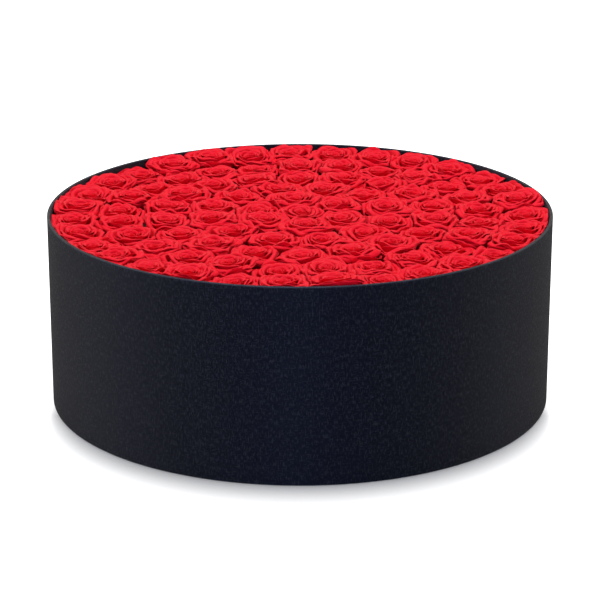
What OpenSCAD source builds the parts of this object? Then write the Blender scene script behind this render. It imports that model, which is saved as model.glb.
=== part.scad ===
// Round flower box: a lidless drum of paper-covered board that holds a lift-out insert
// of close-set preserved roses. The roses are picked into a foam bed on a slotted board riser.
// Origin: centre of the underside, +Z up, -Y is the front.

/* [Box] */
// Outside diameter of the finished box
box_d = 500; // [440:10:560]
// Height of the finished box
box_h = 192; // [176:2:230]
// Thickness of the rolled wall board
wall_board_t = 2.5; // [2:0.1:4]
// Gap at the butt joint of the rolled wall board
wall_seam_gap = 0.5; // [0.3:0.1:1]
// Thickness of the base board
base_board_t = 3; // [2:0.1:5]
// Thickness of the covering and lining papers
paper_t = 0.4; // [0.3:0.05:0.6]
// Depth of the covering paper folded in over the rim
rim_turn_in = 20; // [12:1:30]
// Width of the covering paper folded under the base
base_turn_in = 18; // [10:1:30]
// Distance from the rim down to the top edge of the lining
lining_drop = 4; // [2:0.5:8]
// Distance from the outer edge in to the edge of the underside paper
base_paper_margin = 3; // [2:0.5:8]

/* [Insert] */
// Gap all round between the insert and the lining
insert_gap = 1; // [0.6:0.1:2]
// Thickness of the slotted riser boards
riser_t = 3; // [2:0.1:5]
// Distance between parallel riser boards
riser_pitch = 130; // [100:5:140]
// Distance from the edge of the support disc in to the ends of the riser boards
riser_inset = 2; // [1:0.5:10]
// Play of each slot on the board that crosses it
slot_play = 0.3; // [0.2:0.05:0.6]
// Thickness of the support disc
support_t = 3; // [2:0.1:6]
// Thickness of the foam bed
foam_t = 38; // [30:1:50]

/* [Roses] */
// Diameter of the largest bloom
bloom_d = 44; // [38:0.5:46]
// Height of the largest bloom
bloom_h = 36; // [34:0.5:38]
// Smallest gap between neighbouring blooms
bloom_gap = 0.5; // [0.4:0.1:2]
// How much smaller than the largest the smallest bloom is, across
bloom_size_play = 3; // [0:0.5:5]
// Mean distance of the bloom tops below the rim
bloom_drop = 1; // [0:0.5:12]
// Most that a bloom stands above or below the mean
bloom_height_play = 2.5; // [0:0.5:4]
// Most that a bloom leans from upright, in degrees
bloom_lean = 4; // [0:0.5:6]
// Petals in a bloom
petal_count = 8; // [6:1:9]
// Thickness of a petal
petal_t = 1; // [0.6:0.1:1.2]
// Height of the green hip under a bloom
hip_h = 7; // [5:0.5:10]
// Length of stem left under the hip
stub_l = 7; // [5:0.5:12]
// Diameter of that stem
stub_d = 5.4; // [4.6:0.1:7]
// Span of the five sepals
sepal_span = 26; // [18:1:32]
// Thickness of a sepal
sepal_t = 0.8; // [0.6:0.1:1.2]
// Diameter of the wooden pick
pick_d = 3; // [2:0.1:3.4]
// Depth of the pick in the stem
pick_grip = 5; // [3:0.5:8]
// Depth of the pick in the foam
pick_depth = 30; // [20:1:34]

/* [Hidden] */
$fn = 96;
bloom_fn = 24;
eps = 0.01;
seal = 0.05; // radial play of a pick in its stem
bore_play = 0.1; // radial play of a pick in the foam
neck_gap = 1; // least height of a cut stem above the foam
sectors = 8; // groups in which the roses are set
ring_turn_step = 37; // degrees by which each ring of roses is turned past the last

// The box, from the outside in and from the table up
outer_r = box_d / 2;
board_out_r = outer_r - paper_t;
board_in_r = board_out_r - wall_board_t;
turn_in_r = board_in_r - paper_t;
lining_in_r = turn_in_r - paper_t;
rim_board_z = box_h - paper_t;
turn_in_z = box_h - rim_turn_in;
lining_top_z = box_h - lining_drop;
hem_z = paper_t;
base_board_z = hem_z + paper_t;
base_top_z = base_board_z + base_board_t;
floor_z = base_top_z + paper_t;

// The insert
insert_r = lining_in_r - insert_gap;
riser_r = insert_r - riser_inset;
bloom_base_z = box_h - bloom_drop - bloom_h;
foam_top_z = bloom_base_z - bloom_height_play - hip_h - stub_l - neck_gap;
foam_z = foam_top_z - foam_t;
support_z = foam_z - support_t;
riser_h = support_z - floor_z;
slot_w = riser_t + 2 * slot_play;
pick_floor_z = foam_top_z - pick_depth;

// Rings of roses, from the one in the middle out to the wall
bloom_pitch = bloom_d + bloom_gap;
wall_ring_r = lining_in_r - insert_gap - bloom_d / 2;
ring_count = floor(wall_ring_r / bloom_pitch);
ring_step = wall_ring_r / ring_count;
function ring_r(k) = k * ring_step;
function ring_n(k) = k == 0 ? 1 : floor(180 / asin(bloom_pitch / (2 * ring_r(k))));
function ring_turn(k) = ring_turn_step * k;
places = [
    for (k = [0 : ring_count])
        for (i = [0 : ring_n(k) - 1])
            [ring_r(k), (ring_turn(k) + i * 360 / ring_n(k)) % 360]
];
rose_count = len(places);
size_draw = rands(0, 1, rose_count, 11);
shift_draw = rands(0, 360, rose_count, 12);
height_draw = rands(-1, 1, rose_count, 13);
lean_draw = rands(0, 1, rose_count, 14);
lean_way_draw = rands(0, 360, rose_count, 15);
spin_draw = rands(0, 360, rose_count, 16);
function rose_slack(i) = bloom_size_play * size_draw[i];
function rose_scale(i) = (bloom_d - rose_slack(i)) / bloom_d;
function rose_xy(i) =
    let (r = places[i][0], a = places[i][1], s = rose_slack(i) / 2, b = shift_draw[i])
    [r * cos(a) + s * cos(b), r * sin(a) + s * sin(b)];
function rose_base_z(i) = bloom_base_z + bloom_height_play * height_draw[i];
function rose_sector(i) = floor(places[i][1] * sectors / 360);
function in_sector(s) = [for (i = [0 : rose_count - 1]) if (rose_sector(i) == s) i];

// Petals of a bloom: round cups set one inside the other, each leaning its own way
ball_r = bloom_d / 2;
foot_r = 0.26 * ball_r; // flat under the bloom, where the hip meets it
ball_z = sqrt(ball_r * ball_r - foot_r * foot_r);
petal_turn = 137.5;
cup_rise = 0.4; // how much higher a cup's middle stands for each mm that its radius is less
inmost_cup = 0.2; // radius of the inmost cup, as a share of the outmost
heart_h = 0.42 * ball_r; // height of the heart above the middle of the outmost cup
heart_edge = -0.1 * ball_r; // and at its edge
lip_lean_out = 9; // lean of the outmost lip, in degrees
lip_lean_in = 22; // and of the inmost
lip_low = 0.86; // height of the outmost lip, as a share of the bloom's
lip_arc = 140; // degrees of the sine by which the lips rise to the crown and dip in the middle
lip_steepest = 0.9; // keeps a lip clear of the top of its own cup
function mix(a, b, u) = a + (b - a) * u;
function petal_u(k) = k / (petal_count - 1);
function cup_r(k) = ball_r * mix(1, inmost_cup, petal_u(k));
function cup_z(k) = ball_z + cup_rise * (ball_r - cup_r(k));
function cup_lean(k) = mix(lip_lean_out, lip_lean_in, petal_u(k));
function crown_z(k) = bloom_h * mix(lip_low, 1, sin(lip_arc * petal_u(k)));
function lip_rise(k) = min(lip_steepest, (crown_z(k) - cup_z(k)) / cup_r(k));
function lip_h(k) = cup_r(k) * sin(asin(lip_rise(k)) - cup_lean(k));

// Calyx
hip_profile = [[1, 0.65], [1.05, 0.35], [0.85, 0]]; // shares of the stem's diameter and the hip's height
sepal_notch = 0.42; // depth of the notches between the sepals, as a share of their reach

// A thin-walled ring about Z
module ring(r_out, r_in, z, h) {
    translate([0, 0, z])
        difference() {
            cylinder(r = r_out, h = h);
            translate([0, 0, -eps]) cylinder(r = r_in, h = h + 2 * eps);
        }
}

module disc(r, z, h) {
    translate([0, 0, z]) cylinder(r = r, h = h);
}

// Greyboard sheet rolled into a drum, with its butt joint at the back
module wall_board() {
    color("#8f8a82")
        difference() {
            ring(board_out_r, board_in_r, base_board_z, rim_board_z - base_board_z);
            translate([-wall_seam_gap / 2, board_in_r - 1, base_board_z - 1])
                cube([wall_seam_gap, wall_board_t + 2, box_h]);
        }
}

// Greyboard disc let into the foot of the drum
module base_board() {
    color("#8f8a82") disc(board_in_r, base_board_z, base_board_t);
}

// Covering paper, folded in over the rim and under the base
module outer_wrap() {
    color("#16182a")
        rotate_extrude()
            polygon([
                [outer_r - base_turn_in, hem_z], [outer_r, hem_z], [outer_r, box_h],
                [turn_in_r, box_h], [turn_in_r, turn_in_z], [board_in_r, turn_in_z],
                [board_in_r, rim_board_z], [board_out_r, rim_board_z],
                [board_out_r, base_board_z], [outer_r - base_turn_in, base_board_z]
            ]);
}

// Lining paper of the wall, stepped in where it laps over the folded rim
module inner_lining() {
    color("#1b1d26")
        rotate_extrude()
            polygon([
                [turn_in_r, base_top_z], [board_in_r, base_top_z], [board_in_r, turn_in_z],
                [turn_in_r, turn_in_z], [turn_in_r, lining_top_z], [lining_in_r, lining_top_z],
                [lining_in_r, turn_in_z - paper_t], [turn_in_r, turn_in_z - paper_t]
            ]);
}

module floor_lining() {
    color("#1b1d26") disc(turn_in_r, base_top_z, paper_t);
}

// Paper disc glued over the folded hem; the box stands on it
module base_paper() {
    color("#16182a") disc(outer_r - base_paper_margin, 0, paper_t);
}

// Half the length of a riser board that lies at this distance from the middle
function riser_half(off) = sqrt(riser_r * riser_r - pow(abs(off) + riser_t / 2, 2));

// One riser board along X, slotted halfway down from its top or up from its foot
module riser_board(off, slots_up) {
    half = riser_half(off);
    depth = riser_h / 2 + slot_play;
    slot_z = slots_up ? floor_z + riser_h - depth : floor_z - eps;
    difference() {
        translate([-half, off - riser_t / 2, floor_z]) cube([2 * half, riser_t, riser_h]);
        for (j = [-1 : 1])
            translate([j * riser_pitch - slot_w / 2, off - riser_t, slot_z])
                cube([slot_w, 2 * riser_t, depth + eps]);
    }
}

module riser_cross(j) {
    color("#a08a68") riser_board(j * riser_pitch, true);
}

module riser_long(j) {
    color("#a08a68") rotate(90) riser_board(-j * riser_pitch, false);
}

module support_disc() {
    color("#a08a68") disc(insert_r, support_z, support_t);
}

// Puts its children where rose i stands: they are drawn with the bloom's foot at the origin
module at_rose(i) {
    pivot = ball_z * rose_scale(i); // the lean turns about the middle of the bloom
    way = lean_way_draw[i];
    translate([rose_xy(i)[0], rose_xy(i)[1], rose_base_z(i) + pivot])
        rotate(way) rotate([0, bloom_lean * lean_draw[i], 0]) rotate(-way)
            translate([0, 0, -pivot]) rotate(spin_draw[i]) children();
}

// Height of the bottom of rose i's pick, below the bloom's foot
function pick_foot(i) = rose_base_z(i) - pick_floor_z;

// Foam disc with a hole for each pick
module foam_bed() {
    color("#3f5f43")
        difference() {
            disc(insert_r, foam_z, foam_t);
            for (i = [0 : rose_count - 1])
                at_rose(i) translate([0, 0, -pick_foot(i)])
                    cylinder(r = pick_d / 2 + bore_play, h = 2 * pick_depth, $fn = bloom_fn);
        }
}

// What the outmost petal holds: open down to the heart, which fills the rest
module heart_hollow() {
    intersection() {
        sphere(r = ball_r - petal_t, $fn = bloom_fn);
        rotate_extrude($fn = bloom_fn)
            polygon([[0, heart_h], [ball_r, heart_edge], [ball_r, ball_r], [0, ball_r]]);
    }
}

// One petal: a thin round cup, cut off on a slant at its lip
module petal(k) {
    r = cup_r(k);
    translate([0, 0, cup_z(k)])
        difference() {
            sphere(r = r, $fn = bloom_fn);
            if (k == 0) heart_hollow();
            else sphere(r = r - petal_t, $fn = bloom_fn);
            rotate(k * petal_turn) rotate([cup_lean(k), 0, 0])
                translate([-r, -r, lip_h(k)]) cube(2 * r);
            if (k == 0) translate([-r, -r, -r - cup_z(0)]) cube([2 * r, 2 * r, r]);
        }
}

// One rose head
module bloom() {
    for (k = [0 : petal_count - 1]) petal(k);
}

module blooms(s) {
    color("#d2122b")
        for (i = in_sector(s)) at_rose(i) scale(rose_scale(i)) bloom();
}

// Flat star of five sepals
module sepals() {
    spread = sepal_span / 2;
    translate([0, 0, -sepal_t])
        linear_extrude(sepal_t)
            polygon([
                for (a = [0 : 36 : 324])
                    let (r = (a % 72 == 0) ? spread : sepal_notch * spread) [r * cos(a), r * sin(a)]
            ]);
}

// Green hip with its sepals and a cut stem, bored for the pick
module calyx(s) {
    foot = (hip_h + stub_l) * s;
    difference() {
        scale(s) {
            rotate_extrude($fn = bloom_fn)
                polygon([
                    [0, -hip_h - stub_l], [stub_d / 2, -hip_h - stub_l], [stub_d / 2, -hip_h],
                    for (p = hip_profile) [p[0] * stub_d, -p[1] * hip_h],
                    [0, 0]
                ]);
            sepals();
        }
        translate([0, 0, -foot - eps])
            cylinder(r = pick_d / 2 + seal, h = pick_grip + eps, $fn = bloom_fn);
    }
}

module calyxes(s) {
    color("#4d6b35")
        for (i = in_sector(s)) at_rose(i) calyx(rose_scale(i));
}

// Wooden picks, from the foam up into the cut stems
module picks(s) {
    color("#c9a877")
        for (i = in_sector(s))
            let (top = pick_grip - (hip_h + stub_l) * rose_scale(i))
                at_rose(i) translate([0, 0, -pick_foot(i)])
                    cylinder(d = pick_d, h = top + pick_foot(i), $fn = bloom_fn);
}

wall_board();
base_board();
outer_wrap();
inner_lining();
floor_lining();
base_paper();
riser_cross(-1);  // riser_front
riser_cross(0);  // riser_middle
riser_cross(1);  // riser_rear
riser_long(-1);  // riser_left
riser_long(0);  // riser_centre
riser_long(1);  // riser_right
support_disc();
foam_bed();
blooms(0);  // blooms_1
blooms(1);  // blooms_2
blooms(2);  // blooms_3
blooms(3);  // blooms_4
blooms(4);  // blooms_5
blooms(5);  // blooms_6
blooms(6);  // blooms_7
blooms(7);  // blooms_8
calyxes(0);  // calyxes_1
calyxes(1);  // calyxes_2
calyxes(2);  // calyxes_3
calyxes(3);  // calyxes_4
calyxes(4);  // calyxes_5
calyxes(5);  // calyxes_6
calyxes(6);  // calyxes_7
calyxes(7);  // calyxes_8
picks(0);  // picks_1
picks(1);  // picks_2
picks(2);  // picks_3
picks(3);  // picks_4
picks(4);  // picks_5
picks(5);  // picks_6
picks(6);  // picks_7
picks(7);  // picks_8
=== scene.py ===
"""Looks of a round flower box: a paper-covered drum filled to its rim with close-set preserved roses.

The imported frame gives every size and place. This script dresses the board, paper, foam and wood, and
builds the covering paper, the rose heads and their calyxes as meshes of their own.
"""

import logging
import math
from collections.abc import Callable
from dataclasses import dataclass, field
from enum import Enum

import bmesh
import bpy
import numpy as np
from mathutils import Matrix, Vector

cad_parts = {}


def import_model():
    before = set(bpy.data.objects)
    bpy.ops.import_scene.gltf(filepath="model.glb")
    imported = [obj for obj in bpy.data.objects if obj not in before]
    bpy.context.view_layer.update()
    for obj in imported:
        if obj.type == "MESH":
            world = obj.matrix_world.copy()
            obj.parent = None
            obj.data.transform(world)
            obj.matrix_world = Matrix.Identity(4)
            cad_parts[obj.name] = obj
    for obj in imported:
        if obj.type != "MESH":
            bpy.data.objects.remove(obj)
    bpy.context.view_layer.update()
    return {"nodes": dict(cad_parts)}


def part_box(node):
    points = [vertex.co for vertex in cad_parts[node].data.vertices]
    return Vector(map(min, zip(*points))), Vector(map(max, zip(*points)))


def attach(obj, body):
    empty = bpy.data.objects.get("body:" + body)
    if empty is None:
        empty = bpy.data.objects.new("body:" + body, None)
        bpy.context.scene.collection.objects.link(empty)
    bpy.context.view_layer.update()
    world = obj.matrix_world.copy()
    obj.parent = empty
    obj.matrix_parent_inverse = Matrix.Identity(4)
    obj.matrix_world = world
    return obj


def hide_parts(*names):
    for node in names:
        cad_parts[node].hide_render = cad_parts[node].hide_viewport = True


MM = 0.001
FULL_TURN = 2 * math.pi
VEIN_SEEDS = 40.0  # each petal and leaf takes its veins from a place of its own, up to this far off
Colour = tuple[float, float, float]
Span = tuple[float, float]
Array = np.ndarray
Draw = np.random.Generator
Reach = Callable[[Array], Array]
Socket = bpy.types.NodeSocket
Fed = Socket | float
log = logging.getLogger("flower_box")


class Slot(Enum):
    """The record's material slots for this script's own pieces; nothing in the script gives them to a piece.
    """

    WRAP = "wrap_paper"
    PETALS = "petals"
    CALYX = "calyx"


# ---------------------------------------------------------------- shader helpers


class Nodes:
    """A small writer of shader nodes into one tree."""

    def __init__(self, tree: bpy.types.NodeTree) -> None:
        """Keeps the material's or group's tree that nodes are added to."""
        self.tree = tree

    def feed(self, node: bpy.types.Node, inputs: dict) -> bpy.types.Node:
        """Gives a node's inputs their values and links.

        Args:
            node: The node.
            inputs: Values or output sockets by input name or number.

        Returns:
            The same node.
        """
        for key, value in inputs.items():
            if isinstance(value, Socket):
                self.tree.links.new(value, node.inputs[key])
            else:
                node.inputs[key].default_value = value
        return node

    def add(self, kind: str, inputs: dict | None = None, **settings: object) -> bpy.types.Node:
        """Adds a node, sets it up and feeds its inputs.

        Args:
            kind: The node's type name, such as "ShaderNodeMath".
            inputs: Values or output sockets by input name or number.
            settings: Properties of the node.

        Returns:
            The new node.
        """
        node = self.tree.nodes.new(kind)
        for name, value in settings.items():
            setattr(node, name, value)
        return self.feed(node, inputs or {})

    def effect(self, group: bpy.types.NodeTree, **inputs: Fed) -> bpy.types.Node:
        """Puts a shared effect into this tree and returns its node."""
        return self.add("ShaderNodeGroup", inputs, node_tree=group)

    def attribute(self, name: str, output: str) -> Socket:
        """Reads a mesh attribute and returns its "Vector" or "Fac" socket."""
        return self.add("ShaderNodeAttribute", attribute_name=name).outputs[output]

    def math(self, operation: str, a: Fed, b: Fed = 0.0, c: Fed = 0.0) -> Socket:
        """Adds a Math node and returns its output socket."""
        return self.add("ShaderNodeMath", {0: a, 1: b, 2: c}, operation=operation).outputs[0]

    def ripple(self, value: Socket) -> Socket:
        """The size of the sine of half turns: a thread's round back at every whole number."""
        return self.math("ABSOLUTE", self.math("SINE", self.math("MULTIPLY", value, math.pi)))

    def blend(self, share: Fed, low: Fed, high: Fed) -> Socket:
        """Mixes two numbers by a share and returns the output socket."""
        return self.add("ShaderNodeMix", {0: share, 2: low, 3: high}, data_type="FLOAT").outputs[0]

    def tint(self, share: Fed, low: Socket | Colour, high: Socket | Colour, way: str = "MIX") -> Socket:
        """Mixes two colours.

        Args:
            share: How much of the second one.
            low: The first colour.
            high: The second colour.
            way: The Mix node's way of blending.

        Returns:
            The output socket.
        """
        low, high = (tone if isinstance(tone, Socket) else (*tone, 1.0) for tone in (low, high))
        node = self.add("ShaderNodeMix", {0: share, 6: low, 7: high}, data_type="RGBA", blend_type=way)
        return node.outputs[2]

    def noise(self, place: Socket, scale: float, detail: float = 3.0, roughness: float = 0.5) -> Socket:
        """Adds a noise texture and returns its Factor socket."""
        inputs = {"Vector": place, "Scale": scale, "Detail": detail, "Roughness": roughness}
        return self.add("ShaderNodeTexNoise", inputs).outputs[0]

    def stretch(self, place: Socket, by: tuple[float, float, float]) -> Socket:
        """Scales a place along each axis and returns the output socket."""
        return self.add("ShaderNodeVectorMath", {0: place, 1: by}, operation="MULTIPLY").outputs[0]

    def scale(self, place: Socket, by: Fed) -> Socket:
        """Scales a place evenly and returns the output socket."""
        return self.add("ShaderNodeVectorMath", {0: place, "Scale": by}, operation="SCALE").outputs[0]

    def range(self, value: Fed, low: float, high: float, to_low: float = 0.0, to_high: float = 1.0) -> Socket:
        """Maps a number from one range to another, held at its ends."""
        inputs = {0: value, 1: low, 2: high, 3: to_low, 4: to_high}
        return self.add("ShaderNodeMapRange", inputs, clamp=True).outputs[0]


NewGroup = tuple[bpy.types.NodeTree, Nodes, bpy.types.Node, bpy.types.Node]


def new_group(name: str, inputs: dict[str, str], outputs: list[str]) -> NewGroup:
    """Makes an empty shader node group with named sockets.

    Args:
        name: The group's name.
        inputs: Socket kind by input name, "Float" or "Vector".
        outputs: Names of its outputs, which are all numbers.

    Returns:
        The group, its writer, its input node and its output node.
    """
    tree = bpy.data.node_groups.new(name, "ShaderNodeTree")
    for way, sockets in (("INPUT", inputs), ("OUTPUT", dict.fromkeys(outputs, "Float"))):
        for socket, kind in sockets.items():
            tree.interface.new_socket(socket, in_out=way, socket_type=f"NodeSocket{kind}")
    nodes = Nodes(tree)
    return tree, nodes, nodes.add("NodeGroupInput"), nodes.add("NodeGroupOutput")


def linen_weave_group() -> bpy.types.NodeTree:
    """A plain weave of uneven threads, from a place in metres on the flat cloth.

    Returns:
        A group with inputs Place, Pitch and Slub, and outputs Height and Thread.
    """
    tree, n, given, out = new_group(
        "linen_weave", {"Place": "Vector", "Pitch": "Float", "Slub": "Float"}, ["Height", "Thread"]
    )
    scaled = n.scale(given.outputs["Place"], n.math("DIVIDE", 1.0, given.outputs["Pitch"]))
    wander = n.noise(scaled, scale=0.21, detail=2.0)
    split = n.add("ShaderNodeSeparateXYZ", {0: scaled})
    across, along = (n.math("ADD", split.outputs[axis], wander) for axis in (0, 1))
    warp, weft = n.ripple(across), n.ripple(along)
    cells = n.add("ShaderNodeCombineXYZ", {0: across, 1: along})
    over = n.add("ShaderNodeTexChecker", {"Vector": cells.outputs[0], "Scale": 1.0}).outputs["Fac"]
    warp_slub = n.noise(n.stretch(scaled, (0.80, 0.22, 1.0)), scale=1.0, detail=2.0)
    weft_slub = n.noise(n.stretch(scaled, (0.22, 0.80, 1.0)), scale=1.0, detail=2.0)
    slub = n.math("MAXIMUM", n.range(warp_slub, 0.53, 0.67), n.range(weft_slub, 0.56, 0.72))
    woven = n.blend(over, warp, weft)
    body = n.math("MULTIPLY", woven, 0.5)
    thread = n.blend(given.outputs["Slub"], body, slub)
    n.feed(out, {"Height": n.blend(0.5, woven, slub), "Thread": thread})
    return tree


def paper_fibre_group() -> bpy.types.NodeTree:
    """Short matted fibres and flecks, as in pulp board and plain paper.

    Returns:
        A group with inputs Place and Fineness, and outputs Height and Fleck.
    """
    tree, n, given, out = new_group(
        "paper_fibre", {"Place": "Vector", "Fineness": "Float"}, ["Height", "Fleck"]
    )
    place = n.scale(given.outputs["Place"], given.outputs["Fineness"])
    bent = n.add("ShaderNodeTexNoise", {"Vector": place, "Scale": 0.35, "Detail": 2.0}).outputs[1]
    twisted = n.add("ShaderNodeVectorMath", {0: place, 1: bent}, operation="ADD").outputs[0]
    fibres = n.noise(n.stretch(twisted, (0.25, 2.2, 1.1)), scale=1.0, detail=4.0, roughness=0.6)
    matted = n.noise(place, scale=0.6, detail=5.0, roughness=0.65)
    flecks = n.noise(twisted, scale=1.7, detail=1.0)
    n.feed(out, {"Height": n.blend(0.5, fibres, matted), "Fleck": n.range(flecks, 0.58, 0.72)})
    return tree


def edge_wear_and_highlight_group() -> bpy.types.NodeTree:
    """Where a folded edge has rubbed and carries a painted highlight, broken up along its length.

    Returns:
        A group with inputs Place, Edge and Amount, and the output Worn.
    """
    tree, n, given, out = new_group(
        "edge_wear_and_highlight", {"Place": "Vector", "Edge": "Float", "Amount": "Float"}, ["WornAndHighlit"]
    )
    coarse = n.noise(given.outputs["Place"], scale=55.0)
    fine = n.noise(given.outputs["Place"], scale=420.0, roughness=0.7)
    broken = n.range(n.blend(0.45, coarse, fine), 0.3, 0.62)
    rubbed = n.math("MULTIPLY", broken, given.outputs["Edge"])
    n.feed(out, {"WornAndHighlit": n.math("MULTIPLY", rubbed, given.outputs["Amount"])})
    return tree


def petal_vein_group() -> bpy.types.NodeTree:
    """Fine veins that fan out along a petal, with a soft mottle over them.

    Returns:
        A group with the input Place, across and along the petal, and outputs Vein and Mottle.
    """
    tree, n, given, out = new_group("petal_vein", {"Place": "Vector"}, ["Vein", "Mottle"])
    veins = n.noise(n.stretch(given.outputs["Place"], (17.0, 2.2, 3.0)), scale=1.0, roughness=0.55)
    mottle = n.noise(n.stretch(given.outputs["Place"], (2.4, 2.8, 3.0)), scale=1.0, roughness=0.6)
    n.feed(out, {"Vein": n.range(veins, 0.32, 0.68), "Mottle": mottle})
    return tree


def grain_group() -> bpy.types.NodeTree:
    """Straight wood grain along Z with a few darker growth lines.

    Returns:
        A group with the input Place and the output Grain.
    """
    tree, n, given, out = new_group("wood_grain", {"Place": "Vector"}, ["Grain"])
    place = given.outputs["Place"]
    lines = n.noise(n.stretch(place, (2600.0, 2600.0, 45.0)), scale=1.0, detail=4.0, roughness=0.6)
    broad = n.noise(n.stretch(place, (600.0, 600.0, 12.0)), scale=1.0, detail=2.0)
    n.feed(out, {"Grain": n.range(n.blend(0.4, lines, broad), 0.32, 0.68)})
    return tree


def crumb_group() -> bpy.types.NodeTree:
    """The open cells and crumbs of cut dry foam, with a mask of the cells for their painted shade.

    Returns:
        A group with the input Place, and outputs Height and Pit.
    """
    tree, n, given, out = new_group("foam_crumb", {"Place": "Vector"}, ["Height", "PitShade"])
    inputs = {"Vector": given.outputs["Place"], "Scale": 520.0, "Randomness": 1.0}
    cells = n.add("ShaderNodeTexVoronoi", inputs).outputs[0]
    rubbed = n.noise(given.outputs["Place"], scale=90.0, detail=4.0, roughness=0.6)
    height = n.blend(0.45, n.range(cells, 0.0, 0.55), rubbed)
    n.feed(out, {"Height": height, "PitShade": n.range(cells, 0.0, 0.32, 1.0, 0.0)})
    return tree


class EffectLibrary:
    """The shared effects, each built once."""

    def __init__(self) -> None:
        """Builds every node group."""
        self.weave = linen_weave_group()
        self.fibre = paper_fibre_group()
        self.wear = edge_wear_and_highlight_group()
        self.vein = petal_vein_group()
        self.grain = grain_group()
        self.crumb = crumb_group()


@dataclass(frozen=True)
class Finish:
    """What every finish has: the shader's own plain numbers, and its relief.

    Its smooth places are less rough by smoother and the others rougher by rougher, and its relief is
    what a height of 1 stands for, in metres.
    """

    name: str
    roughness: float = 0.6
    specular: float = 0.5
    specular_tint: Colour = (1.0, 1.0, 1.0)
    sheen: float = 0.0
    sheen_roughness: float = 0.5
    sheen_tint: Colour = (1.0, 1.0, 1.0)
    anisotropic: float = 0.0
    rougher: float = 0.08
    smoother: float = 0.08
    smooth_from: Span = (0.3, 0.7)
    relief: float = 0.2 * MM
    relief_strength: float = 0.5

    def start(self) -> tuple[bpy.types.Material, Nodes, bpy.types.Node]:
        """Makes the material with its shader.

        Returns:
            The material, its node writer and its Principled shader.
        """
        material = bpy.data.materials.new(self.name)
        material.use_nodes = True
        n, shader = Nodes(material.node_tree), material.node_tree.nodes["Principled BSDF"]
        plain = {
            "Roughness": self.roughness,
            "Specular IOR Level": self.specular,
            "Specular Tint": (*self.specular_tint, 1.0),
            "Sheen Weight": self.sheen,
            "Sheen Roughness": self.sheen_roughness,
            "Sheen Tint": (*self.sheen_tint, 1.0),
            "Anisotropic": self.anisotropic,
        }
        return material, n, n.feed(shader, plain)

    def coat(self, n: Nodes, shader: bpy.types.Node, colour: Socket, smooth: Socket, height: Socket) -> None:
        """Feeds the shader its colour, its roughness and, through a Bump node, its relief.

        Args:
            n: The node writer.
            shader: The Principled shader.
            colour: The colour.
            smooth: How smooth it is from place to place.
            height: The height, from 0 to 1.
        """
        rough = n.range(
            smooth, *self.smooth_from, self.roughness + self.rougher, self.roughness - self.smoother
        )
        inputs = {"Height": height, "Distance": self.relief, "Strength": self.relief_strength}
        bump = n.add("ShaderNodeBump", inputs)
        n.feed(shader, {"Base Color": colour, "Roughness": rough, "Normal": bump.outputs[0]})


@dataclass(frozen=True)
class ClothPaper(Finish):
    """Covering paper with a woven linen face, rubbed along its folds and given a painted highlight there."""

    ground: Colour = (0.0003, 0.0004, 0.0006)
    thread: Colour = (0.0215, 0.0225, 0.0235)
    # Colour along the rubbed edges: partly real rubbing, partly a painted highlight where the rim and lap
    # edge catch the light.
    rubbed: Colour = (0.032, 0.040, 0.045)
    pitch: float = 1.0 * MM
    slub: float = 0.8
    wear: float = 0.9
    rougher: float = 0.14
    smoother: float = 0.14
    smooth_from: Span = (0.0, 1.0)
    relief: float = 0.35 * MM
    relief_strength: float = 0.9

    def make(self, effects: EffectLibrary) -> bpy.types.Material:
        """Makes the material for a piece with the attributes weave_at and fold.

        Args:
            effects: The shared effects.

        Returns:
            The material.
        """
        material, n, shader = self.start()
        place, fold = n.attribute("weave_at", "Vector"), n.attribute("fold", "Fac")
        weave = n.effect(effects.weave, Place=place, Pitch=self.pitch, Slub=self.slub)
        worn_and_highlit = n.effect(effects.wear, Place=place, Edge=fold, Amount=self.wear)
        cloth = n.tint(weave.outputs["Thread"], self.ground, self.thread)
        # The rim, foot and lap edges take a lighter colour: partly real rubbing, partly a painted highlight.
        colour = n.tint(worn_and_highlit.outputs["WornAndHighlit"], cloth, self.rubbed)
        self.coat(n, shader, colour, weave.outputs["Thread"], weave.outputs["Height"])
        around = n.add("ShaderNodeTangent", direction_type="RADIAL", axis="Z")
        n.feed(shader, {"Tangent": around.outputs[0], "Anisotropic Rotation": 0.25})
        return material


@dataclass(frozen=True)
class PlainPaper(Finish):
    """Uncoated dyed paper with a little tooth."""

    dye: Colour = (0.008, 0.009, 0.014)
    light: Colour = (0.020, 0.022, 0.030)
    fineness: float = 900.0
    rougher: float = 0.06
    smoother: float = 0.06
    relief: float = 0.06 * MM

    def make(self, effects: EffectLibrary) -> bpy.types.Material:
        """Makes the material for any piece, by its place in the box.

        Args:
            effects: The shared effects.

        Returns:
            The material.
        """
        material, n, shader = self.start()
        place = n.add("ShaderNodeTexCoord").outputs["Object"]
        fibre = n.effect(effects.fibre, Place=place, Fineness=self.fineness).outputs["Height"]
        self.coat(n, shader, n.tint(fibre, self.dye, self.light), fibre, fibre)
        return material


@dataclass(frozen=True)
class PulpBoard(Finish):
    """Pressed pulp board, mottled, with darker and lighter fibres."""

    dark: Colour = (0.20, 0.185, 0.16)
    light: Colour = (0.34, 0.32, 0.285)
    fleck: Colour = (0.46, 0.44, 0.40)
    fineness: float = 600.0
    flecked: float = 0.55
    rougher: float = 0.05
    smoother: float = 0.1
    relief: float = 0.15 * MM
    relief_strength: float = 0.6

    def make(self, effects: EffectLibrary) -> bpy.types.Material:
        """Makes the material for any piece, by its place in the box.

        Args:
            effects: The shared effects.

        Returns:
            The material.
        """
        material, n, shader = self.start()
        place = n.add("ShaderNodeTexCoord").outputs["Object"]
        fibre = n.effect(effects.fibre, Place=place, Fineness=self.fineness)
        height = fibre.outputs["Height"]
        cloudy = n.range(n.noise(place, scale=14.0, detail=4.0), 0.3, 0.7)
        body = n.tint(n.blend(0.6, cloudy, height), self.dark, self.light)
        flecks = n.math("MULTIPLY", fibre.outputs["Fleck"], self.flecked)
        self.coat(n, shader, n.tint(flecks, body, self.fleck), height, height)
        return material


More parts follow.
